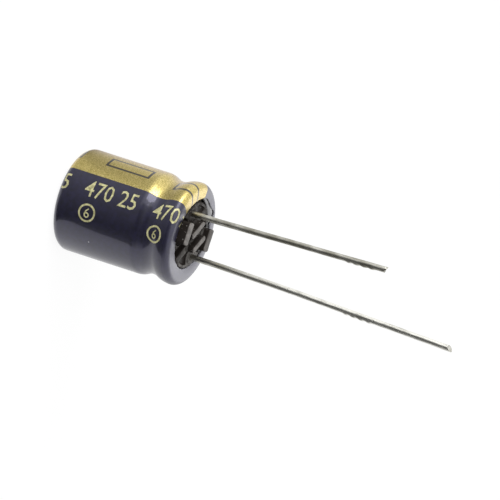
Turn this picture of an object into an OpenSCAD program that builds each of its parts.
// Radial electrolytic capacitor: a deep-drawn aluminium can, grooved and curled over a
// moulded rubber bung, in a shrink sleeve. It stands on its closed end, leads up.
// The origin is the centre of the closed end, and the leads lie along X, positive at +X.

/* [Can] */
// Outside diameter of the bare can
can_d = 10; // [9:0.5:13]
// Height of the bare can, from the closed end to the top of the curled rim
can_h = 12.65; // [12:0.05:25]
// Sheet thickness of the can's wall
can_wall = 0.3; // [0.2:0.02:0.36]
// Thickness of the can's closed end
end_t = 0.35; // [0.25:0.05:0.6]
// Outside radius of the corner around the closed end
end_corner_r = 0.7; // [0.5:0.05:1.2]
// Length of each arm pair of the vent score on the closed end
vent_l = 6.2; // [4:0.1:6.6]
// Depth of the vent score
vent_depth = 0.12; // [0.05:0.01:0.18]

/* [Groove and curled rim] */
// Depth of the rolled groove below the can's side
groove_depth = 0.42; // [0.3:0.02:0.6]
// Radius of the groove's hollow, the nose of the roller
groove_r = 1.95; // [1.2:0.05:2.2]
// Radius of the shoulder below the groove
lower_shoulder_r = 1.55; // [0.8:0.05:2]
// Radius of the shoulder above the groove
upper_shoulder_r = 2.1; // [1:0.05:2.4]
// How far the rim swells out past the can's side
rim_swell = 0.05; // [0:0.01:0.1]
// Outside radius of the curled rim
rim_r = 0.55; // [0.5:0.01:0.65]
// Flat width across the top of the curl
rim_land = 0.25; // [0.1:0.05:0.5]
// How far the curl's edge reaches down past the curl, into the bung's shoulder
curl_edge = 0.25; // [0.1:0.05:0.4]

/* [Sleeve] */
// Film thickness of the shrink sleeve
sleeve_t = 0.13; // [0.08:0.01:0.2]
// Angle of the curl that the sleeve covers at the seal end, from the outside
sleeve_wrap = 134; // [110:1:150]
// Radius of the sleeve's opening at the closed end
sleeve_end_r = 3.7; // [3.3:0.1:4]

/* [Rubber bung] */
// Thickness of the bung, from its inner face to the floor of its relief
bung_t = 3.35; // [3:0.05:4]
// Height of the two islands above the floor
island_h = 0.62; // [0.3:0.02:0.8]
// Width of the vent channel between the two islands
channel_w = 1; // [0.8:0.05:1.2]
// Angle of the channel to the line that runs square across the leads
channel_turn = 8.5; // [0:0.5:12]
// Width of the bar that stands on each island beside the channel
bar_w = 0.6; // [0.58:0.02:0.7]
// Length of each bar
bar_l = 2.5; // [2:0.1:2.6]
// Ledge left on both sides of a bar
bar_ledge = 0.1; // [0.08:0.01:0.2]
// How far an island's edge and a boss lean in from foot to top
relief_draft = 0.3; // [0.2:0.05:0.4]
// Depth of the dished pocket in each island, beside its bar and its lead boss
pocket_depth = 0.22; // [0.1:0.02:0.28]
// Height of the two stand-off pads and of the bars above the floor
pad_h = 1.48; // [1.2:0.02:1.6]
// Long side of a pad
pad_l = 2.3; // [1.8:0.1:2.5]
// Short side of a pad
pad_w = 1; // [0.8:0.05:1.1]
// Distance from the centre to the middle of each pad
pad_at = 2.62; // [2.5:0.02:2.74]
// Angle between the line of the leads and the pads' long sides
pad_turn = 35.5; // [25:0.5:45]
// Gap around each pad where the islands are cut back
pad_gap = 0.22; // [0.18:0.01:0.26]
// Radius that rounds a pad's corners and top edges
pad_round = 0.25; // [0.15:0.05:0.25]
// Radius at the foot of the boss around each lead
boss_r = 1.05; // [0.8:0.05:1.2]
// Height of a boss above the floor
boss_h = 0.7; // [0.5:0.02:0.9]

/* [Leads and tabs] */
// Distance between the leads where they leave the bung
lead_pitch = 5; // [4.6:0.1:5.2]
// Diameter of the lead wire
lead_d = 0.6; // [0.45:0.05:0.7]
// Length of the positive lead above the rim
positive_l = 28.45; // [16:0.05:32]
// Length of the negative lead above the rim
negative_l = 21.15; // [14:0.05:28]
// Height above the rim where both leads start to splay
first_bend = 2.6; // [1.5:0.1:4]
// Height above the rim of the positive lead's second bend
second_bend = 10; // [6:0.5:13]
// Tilt of the positive lead after its first bend
positive_tilt = 1.3; // [0.5:0.1:2]
// Tilt of the positive lead after its second bend
positive_tip_tilt = 2.25; // [2.1:0.05:3]
// Tilt of the negative lead after its bend
negative_tilt = 2.1; // [0.5:0.1:3]
// Angle of the sheared face at each lead's tip
tip_shear = 35; // [10:1:45]
// Diameter of the aluminium stem that the lead is welded to
stem_d = 1.4; // [1:0.05:1.5]
// Thickness of rubber left over each stem, where only the wire passes
web_t = 0.45; // [0.3:0.05:0.6]
// Gap between the top of the stem and that rubber, filled by the weld
weld_t = 0.25; // [0.15:0.05:0.4]
// Width of the flattened paddle
paddle_w = 2.2; // [1.5:0.1:2.6]
// Thickness of the paddle
paddle_t = 0.25; // [0.15:0.05:0.35]
// Distance from the paddle's end to the bottom of the roll
paddle_end = 1.2; // [0.6:0.1:2.5]

/* [Wound element] */
// Gap between the roll and the inside of the can's closed end
roll_floor_gap = 0.25; // [0.1:0.05:0.6]
// Gap between the top of the roll and the bung
roll_top_gap = 0.7; // [0.4:0.05:1.5]
// Gap all around between the fixing tape and the can
roll_side_gap = 0.06; // [0.03:0.01:0.2]
// Diameter of the hole that the winding mandrel leaves
mandrel_d = 1.3; // [0.8:0.1:2]
// Distance from one raised paper turn to the next on the roll's ends
turn_pitch = 0.4; // [0.3:0.05:0.6]
// How far the paper stands past the foil at each end
paper_over = 0.3; // [0.1:0.05:0.5]
// Thickness of the fixing tape
tape_t = 0.05; // [0.03:0.01:0.08]
// Height of the fixing tape
tape_h = 5.4; // [3:0.1:6]
// Angle over which the tape laps over itself
tape_lap = 50; // [20:5:90]

/* [Fits] */
// Clearance between the sleeve and the can
sleeve_fit = 0.02; // [0.01:0.01:0.05]
// Clearance between the bung and the can
bung_fit = 0.02; // [0.01:0.01:0.05]
// Clearance around each lead wire and stem in the bung
lead_fit = 0.02; // [0.01:0.01:0.05]
// Clearance around each paddle in the roll
paddle_fit = 0.03; // [0.02:0.01:0.08]
// Gap between the bung's raised face and the edge of the curl
seal_gap = 0.07; // [0.03:0.01:0.15]

/* [Hidden] */
$fn = 96;
// Overshoot of a cutting tool past the face that it leaves through
eps = 0.1;
can_r = can_d / 2;
can_z = sleeve_t + sleeve_fit;
rim_top = can_z + can_h;
sleeve_top = rim_top + sleeve_fit + sleeve_t;

// Centres of the arcs of the can's outer outline: rim, groove and both shoulders
rim_outer_r = can_r + rim_swell - rim_r;
rim_inner_r = rim_outer_r - rim_land;
rim_z = rim_top - rim_r;
groove_centre_r = can_r - groove_depth + groove_r;
upper_centre_r = can_r + rim_swell - upper_shoulder_r;
lower_centre_r = can_r - lower_shoulder_r;
// The groove's arc bites this far into both shoulders' arcs, so that they cross cleanly
bite = 0.002;
groove_z = rim_z - other_leg(groove_r + upper_shoulder_r - bite, groove_centre_r - upper_centre_r);
lower_z = groove_z - other_leg(groove_r + lower_shoulder_r - bite, groove_centre_r - lower_centre_r);

// Heights and radii of the bung
curl_foot_z = rim_z - curl_edge;
face_r = rim_inner_r - rim_r - seal_gap;
floor_z = curl_foot_z + curl_edge + bung_fit;
bung_z = floor_z - bung_t;
shoulder_z = curl_foot_z - bung_fit;
island_z = floor_z + island_h;

// Heights of the wound element
roll_z = can_z + end_t + roll_floor_gap;
roll_top = bung_z - roll_top_gap;
tape_r = can_r - can_wall - roll_side_gap;
roll_r = tape_r - 2 * tape_t;
paddle_top = bung_z - roll_top_gap / 3;

// Heights along the stems and leads
stem_top = floor_z - web_t - weld_t;
bend_z = sleeve_top + first_bend;

// The second leg of a right triangle, from its long side and one leg
function other_leg(long_side, leg) = sqrt(pow(long_side, 2) - pow(leg, 2));

// A point on the line between two arc centres, just inside the first one's arc
function toward(from, to, r) = from + (to - from) * (r - bite / 2) / norm(to - from);

// Half section of the can's side, grown outward by a distance, up to the rim's centre
module side_section(grow, bottom) {
    groove = [groove_centre_r, groove_z];
    lower = [lower_centre_r, lower_z];
    upper = [upper_centre_r, rim_z];
    corner_r = end_corner_r + grow;
    difference() {
        union() {
            translate([0, bottom]) square([can_r + grow - corner_r, lower_z - bottom]);
            translate([0, bottom + corner_r]) square([can_r + grow, lower_z - bottom - corner_r]);
            translate([can_r + grow - corner_r, bottom + corner_r]) circle(corner_r);
            translate(lower) circle(lower_shoulder_r + grow);
            intersection() {
                translate(upper) circle(upper_shoulder_r + grow);
                translate([0, rim_z]) mirror([0, 1]) square([can_d, groove_r]);
            }
            polygon([
                [0, lower_z], lower,
                toward(lower, groove, lower_shoulder_r + grow),
                toward(upper, groove, upper_shoulder_r + grow),
                upper, [0, rim_z]
            ]);
        }
        translate(groove) circle(groove_r - grow);
    }
}

// Half section of a skin over the curled rim, from the rim's centre height up
module curl_section(inner, outer, wrap) {
    over_r = 2 * rim_r;
    translate([rim_outer_r, rim_z]) intersection() {
        ring(inner, outer);
        square(over_r);
    }
    translate([rim_inner_r, rim_z + inner]) square([rim_land, outer - inner]);
    translate([rim_inner_r, rim_z]) intersection() {
        ring(inner, outer);
        difference() {
            translate([-over_r, 0]) square(over_r);
            rotate(wrap) square(2 * over_r);
        }
    }
}

module ring(inner, outer) {
    difference() {
        circle(outer);
        circle(inner);
    }
}

// Shrink sleeve: it follows the side, groove and curl, and folds under the closed end
module sleeve() {
    color([0.13, 0.13, 0.24])
    difference() {
        rotate_extrude() {
            difference() {
                side_section(sleeve_fit + sleeve_t, 0);
                side_section(sleeve_fit, sleeve_t);
            }
            curl_section(rim_r + sleeve_fit, rim_r + sleeve_fit + sleeve_t, sleeve_wrap);
        }
        translate([0, 0, -eps]) cylinder(h = sleeve_t + 2 * eps, r = sleeve_end_r);
    }
}

// Deep-drawn can: closed end with its vent score, rolled groove and curled rim
module can() {
    color([0.78, 0.79, 0.8])
    difference() {
        rotate_extrude() {
            difference() {
                side_section(0, can_z);
                side_section(-can_wall, can_z + end_t);
            }
            curl_section(rim_r - can_wall, rim_r, 180);
            translate([rim_inner_r - rim_r, curl_foot_z]) square([can_wall, curl_edge]);
        }
        for (turn = [45, 135])
            rotate([0, 0, turn]) vent_groove();
    }
}

// One straight V groove of the vent score
module vent_groove() {
    side = vent_depth * sqrt(2);
    translate([-vent_l / 2, 0, can_z]) rotate([45, 0, 0])
        translate([0, -side / 2, -side / 2]) cube([vent_l, side, side]);
}

// Moulded rubber bung, squeezed by the groove, with two islands and two stand-off pads
module rubber_bung() {
    color([0.16, 0.15, 0.15])
    difference() {
        union() {
            bung_body();
            for (side = [0, 180]) rotate([0, 0, side]) {
                island();
                pad();
            }
        }
        for (side = [-1, 1]) translate([side * lead_pitch / 2, 0, 0]) {
            translate([0, 0, bung_z - eps]) cylinder(h = bung_t - web_t + eps, d = stem_d + 2 * lead_fit);
            translate([0, 0, bung_z]) cylinder(h = bung_t + pad_h, d = lead_d + 2 * lead_fit);
        }
    }
}

// The bung below its relief: its side follows the inside of the grooved can
module bung_body() {
    rotate_extrude() intersection() {
        side_section(-can_wall - bung_fit, can_z);
        translate([0, bung_z]) square([can_r + rim_swell, shoulder_z - bung_z]);
    }
    translate([0, 0, shoulder_z - eps]) cylinder(h = floor_z - shoulder_z + eps, r = face_r);
}

// The island around the lead at +X, with its bar beside the channel
module island() {
    difference() {
        union() {
            intersection() {
                translate([0, 0, floor_z - eps]) linear_extrude(island_h + eps)
                    beside_channel() square([can_r, 2 * can_r]);
                translate([0, 0, floor_z - eps])
                    cylinder(h = island_h + eps, r1 = face_r, r2 = face_r - relief_draft);
            }
            translate([lead_pitch / 2, 0, floor_z - eps])
                cylinder(h = boss_h + eps, r1 = boss_r, r2 = boss_r - relief_draft);
        }
        pocket();
        translate([0, 0, floor_z]) linear_extrude(pad_h)
            for (side = [0, 180]) rotate([0, 0, side]) pad_outline(pad_gap);
        translate([0, 0, floor_z]) difference() {
            cylinder(h = pad_h, r = can_r);
            translate([0, 0, -eps]) cylinder(h = pad_h + 2 * eps, r = face_r);
        }
    }
    beside_channel() translate([bar_ledge + bar_w / 2, can_r, 0]) rotate([0, 0, 90]) stand(bar_l, bar_w);
}

// Puts a shape against the channel's edge, with the shape's middle at can_r along that edge
module beside_channel() {
    rotate([0, 0, channel_turn]) translate([channel_w / 2, -can_r, 0]) children();
}

// Dished pocket in the top of an island, between the bar, the boss and a lip at the edge
module pocket() {
    translate([0, 0, island_z - pocket_depth]) linear_extrude(pocket_depth + eps)
        difference() {
            intersection() {
                beside_channel() translate([2 * bar_ledge + bar_w, 0])
                    square([lead_pitch / 2, can_r - boss_r / 2]);
                circle(face_r - 2 * relief_draft);
            }
            translate([lead_pitch / 2, 0]) circle(boss_r);
        }
}

// One stand-off pad
module pad() {
    rotate([0, 0, -pad_turn]) translate([0, pad_at, 0]) stand(pad_l, pad_w);
}

// A raised block on the relief's floor, rounded in plan and along its top edges
module stand(length, width) {
    translate([0, 0, floor_z - eps]) intersection() {
        linear_extrude(pad_h + eps) rounded(length, width, pad_round);
        rotate([90, 0, 0]) translate([0, 0, -width]) linear_extrude(2 * width) stand_side(length);
        rotate([90, 0, 90]) translate([0, 0, -length]) linear_extrude(2 * length) stand_side(width);
    }
}

module pad_outline(grow) {
    rotate(-pad_turn) translate([0, pad_at])
        rounded(pad_l + 2 * grow, pad_w + 2 * grow, pad_round + grow);
}

// A stand's upright outline, rounded at its two top corners
module stand_side(width) {
    top_round = pad_round / 2;
    translate([-width / 2, 0]) square([width, pad_h + eps - top_round]);
    translate([top_round - width / 2, 0]) square([width - 2 * top_round, pad_h + eps]);
    for (side = [-1, 1])
        translate([side * (width / 2 - top_round), pad_h + eps - top_round]) circle(top_round);
}

// A rectangle with round corners, centred
module rounded(length, width, radius) {
    square([length - 2 * radius, width], center = true);
    square([length, width - 2 * radius], center = true);
    for (x = [-1, 1], y = [-1, 1])
        translate([x * (length / 2 - radius), y * (width / 2 - radius)]) circle(radius);
}

// A stretch of lead wire, which starts and ends one diameter past its own length
module wire(length) {
    translate([0, 0, -lead_d]) cylinder(h = length + 2 * lead_d, d = lead_d);
}

// A wire up to a bend, mitred there to what follows it, which leans by the bend's tilt
module bent_wire(length, tilt) {
    difference() {
        wire(length);
        translate([0, 0, length]) rotate([0, tilt / 2, 0]) translate([-can_r, -can_r, 0]) cube(can_d);
    }
    translate([0, 0, length]) difference() {
        rotate([0, tilt, 0]) children();
        rotate([0, tilt / 2, 0]) translate([-can_r, -can_r, -can_d]) cube(can_d);
    }
}

// The last straight of a lead, with its tip sheared off at an angle
module sheared_wire(length) {
    difference() {
        wire(length);
        translate([0, 0, length]) rotate([0, -tip_shear, 0])
            translate([-can_r, -can_r, 0]) cube(can_d);
    }
}

// The cone of weld between a stem and its lead
module weld() {
    cylinder(h = weld_t - lead_fit, d1 = stem_d - weld_t, d2 = lead_d - 2 * lead_fit);
}

// Tinned wire of the positive side, the longer one, bent twice
module positive_lead() {
    color([0.75, 0.74, 0.68])
    translate([lead_pitch / 2, 0, stem_top]) {
        weld();
        translate([0, 0, lead_d]) bent_wire(bend_z - stem_top - lead_d, positive_tilt)
            bent_wire(second_bend - first_bend, positive_tip_tilt - positive_tilt)
                sheared_wire(positive_l - second_bend);
    }
}

// Tinned wire of the negative side, the shorter one, bent once
module negative_lead() {
    color([0.75, 0.74, 0.68])
    mirror([1, 0, 0]) translate([lead_pitch / 2, 0, stem_top]) {
        weld();
        translate([0, 0, lead_d]) bent_wire(bend_z - stem_top - lead_d, negative_tilt)
            sheared_wire(negative_l - first_bend);
    }
}

// Aluminium tab: a round stem through the bung, flattened to a paddle inside the roll
module tab() {
    color([0.8, 0.8, 0.82])
    translate([lead_pitch / 2, 0, 0]) {
        translate([0, 0, paddle_top]) cylinder(h = stem_top - paddle_top, d = stem_d);
        intersection() {
            translate([0, 0, paddle_top]) sphere(d = stem_d);
            translate([-stem_d, -stem_d, roll_top + eps]) cube([2 * stem_d, 2 * stem_d, can_h]);
        }
        translate([-paddle_t / 2, -paddle_w / 2, roll_z + paddle_end])
            cube([paddle_t, paddle_w, paddle_top - roll_z - paddle_end]);
    }
}

module positive_tab() {
    tab();
}

module negative_tab() {
    rotate([0, 0, 180]) tab();
}

// Roll of foil and paper: the turns show on its ends, where the paper stands proud
module wound_element() {
    turns = floor((roll_r - mandrel_d / 2) / turn_pitch) - 1;
    color([0.72, 0.66, 0.52])
    difference() {
        translate([0, 0, roll_z]) cylinder(h = roll_top - roll_z, r = roll_r);
        translate([0, 0, roll_z - eps]) cylinder(h = roll_top - roll_z + 2 * eps, d = mandrel_d);
        for (turn = [1 : turns]) {
            inner = mandrel_d / 2 + turn * turn_pitch;
            turn_groove(inner, roll_z - eps);
            turn_groove(inner, roll_top - paper_over);
        }
        for (side = [-1, 1])
            translate([side * lead_pitch / 2, 0, roll_top]) paddle_slot();
    }
}

// Ring between two raised paper turns, where the foil lies lower
module turn_groove(inner, z) {
    translate([0, 0, z]) difference() {
        cylinder(h = paper_over + eps, r = inner);
        translate([0, 0, -eps]) cylinder(h = paper_over + 3 * eps, r = inner - turn_pitch / 2);
    }
}

// Slot in the roll's turns that holds a paddle
module paddle_slot() {
    depth = roll_top - roll_z - paddle_end + paddle_fit;
    translate([-paddle_t / 2 - paddle_fit, -paddle_w / 2 - paddle_fit, -depth])
        cube([paddle_t + 2 * paddle_fit, paddle_w + 2 * paddle_fit, depth + eps]);
}

// Tape that keeps the roll closed, with its end lapped over its start
module fixing_tape() {
    color([0.85, 0.8, 0.6])
    translate([0, 0, (roll_z + roll_top - tape_h) / 2]) {
        difference() {
            cylinder(h = tape_h, r = roll_r + tape_t);
            translate([0, 0, -eps]) cylinder(h = tape_h + 2 * eps, r = roll_r);
        }
        rotate_extrude(angle = tape_lap) translate([roll_r + tape_t, 0]) square([tape_t, tape_h]);
    }
}

sleeve();
can();
rubber_bung();
positive_lead();
negative_lead();
positive_tab();
negative_tab();
wound_element();
fixing_tape();
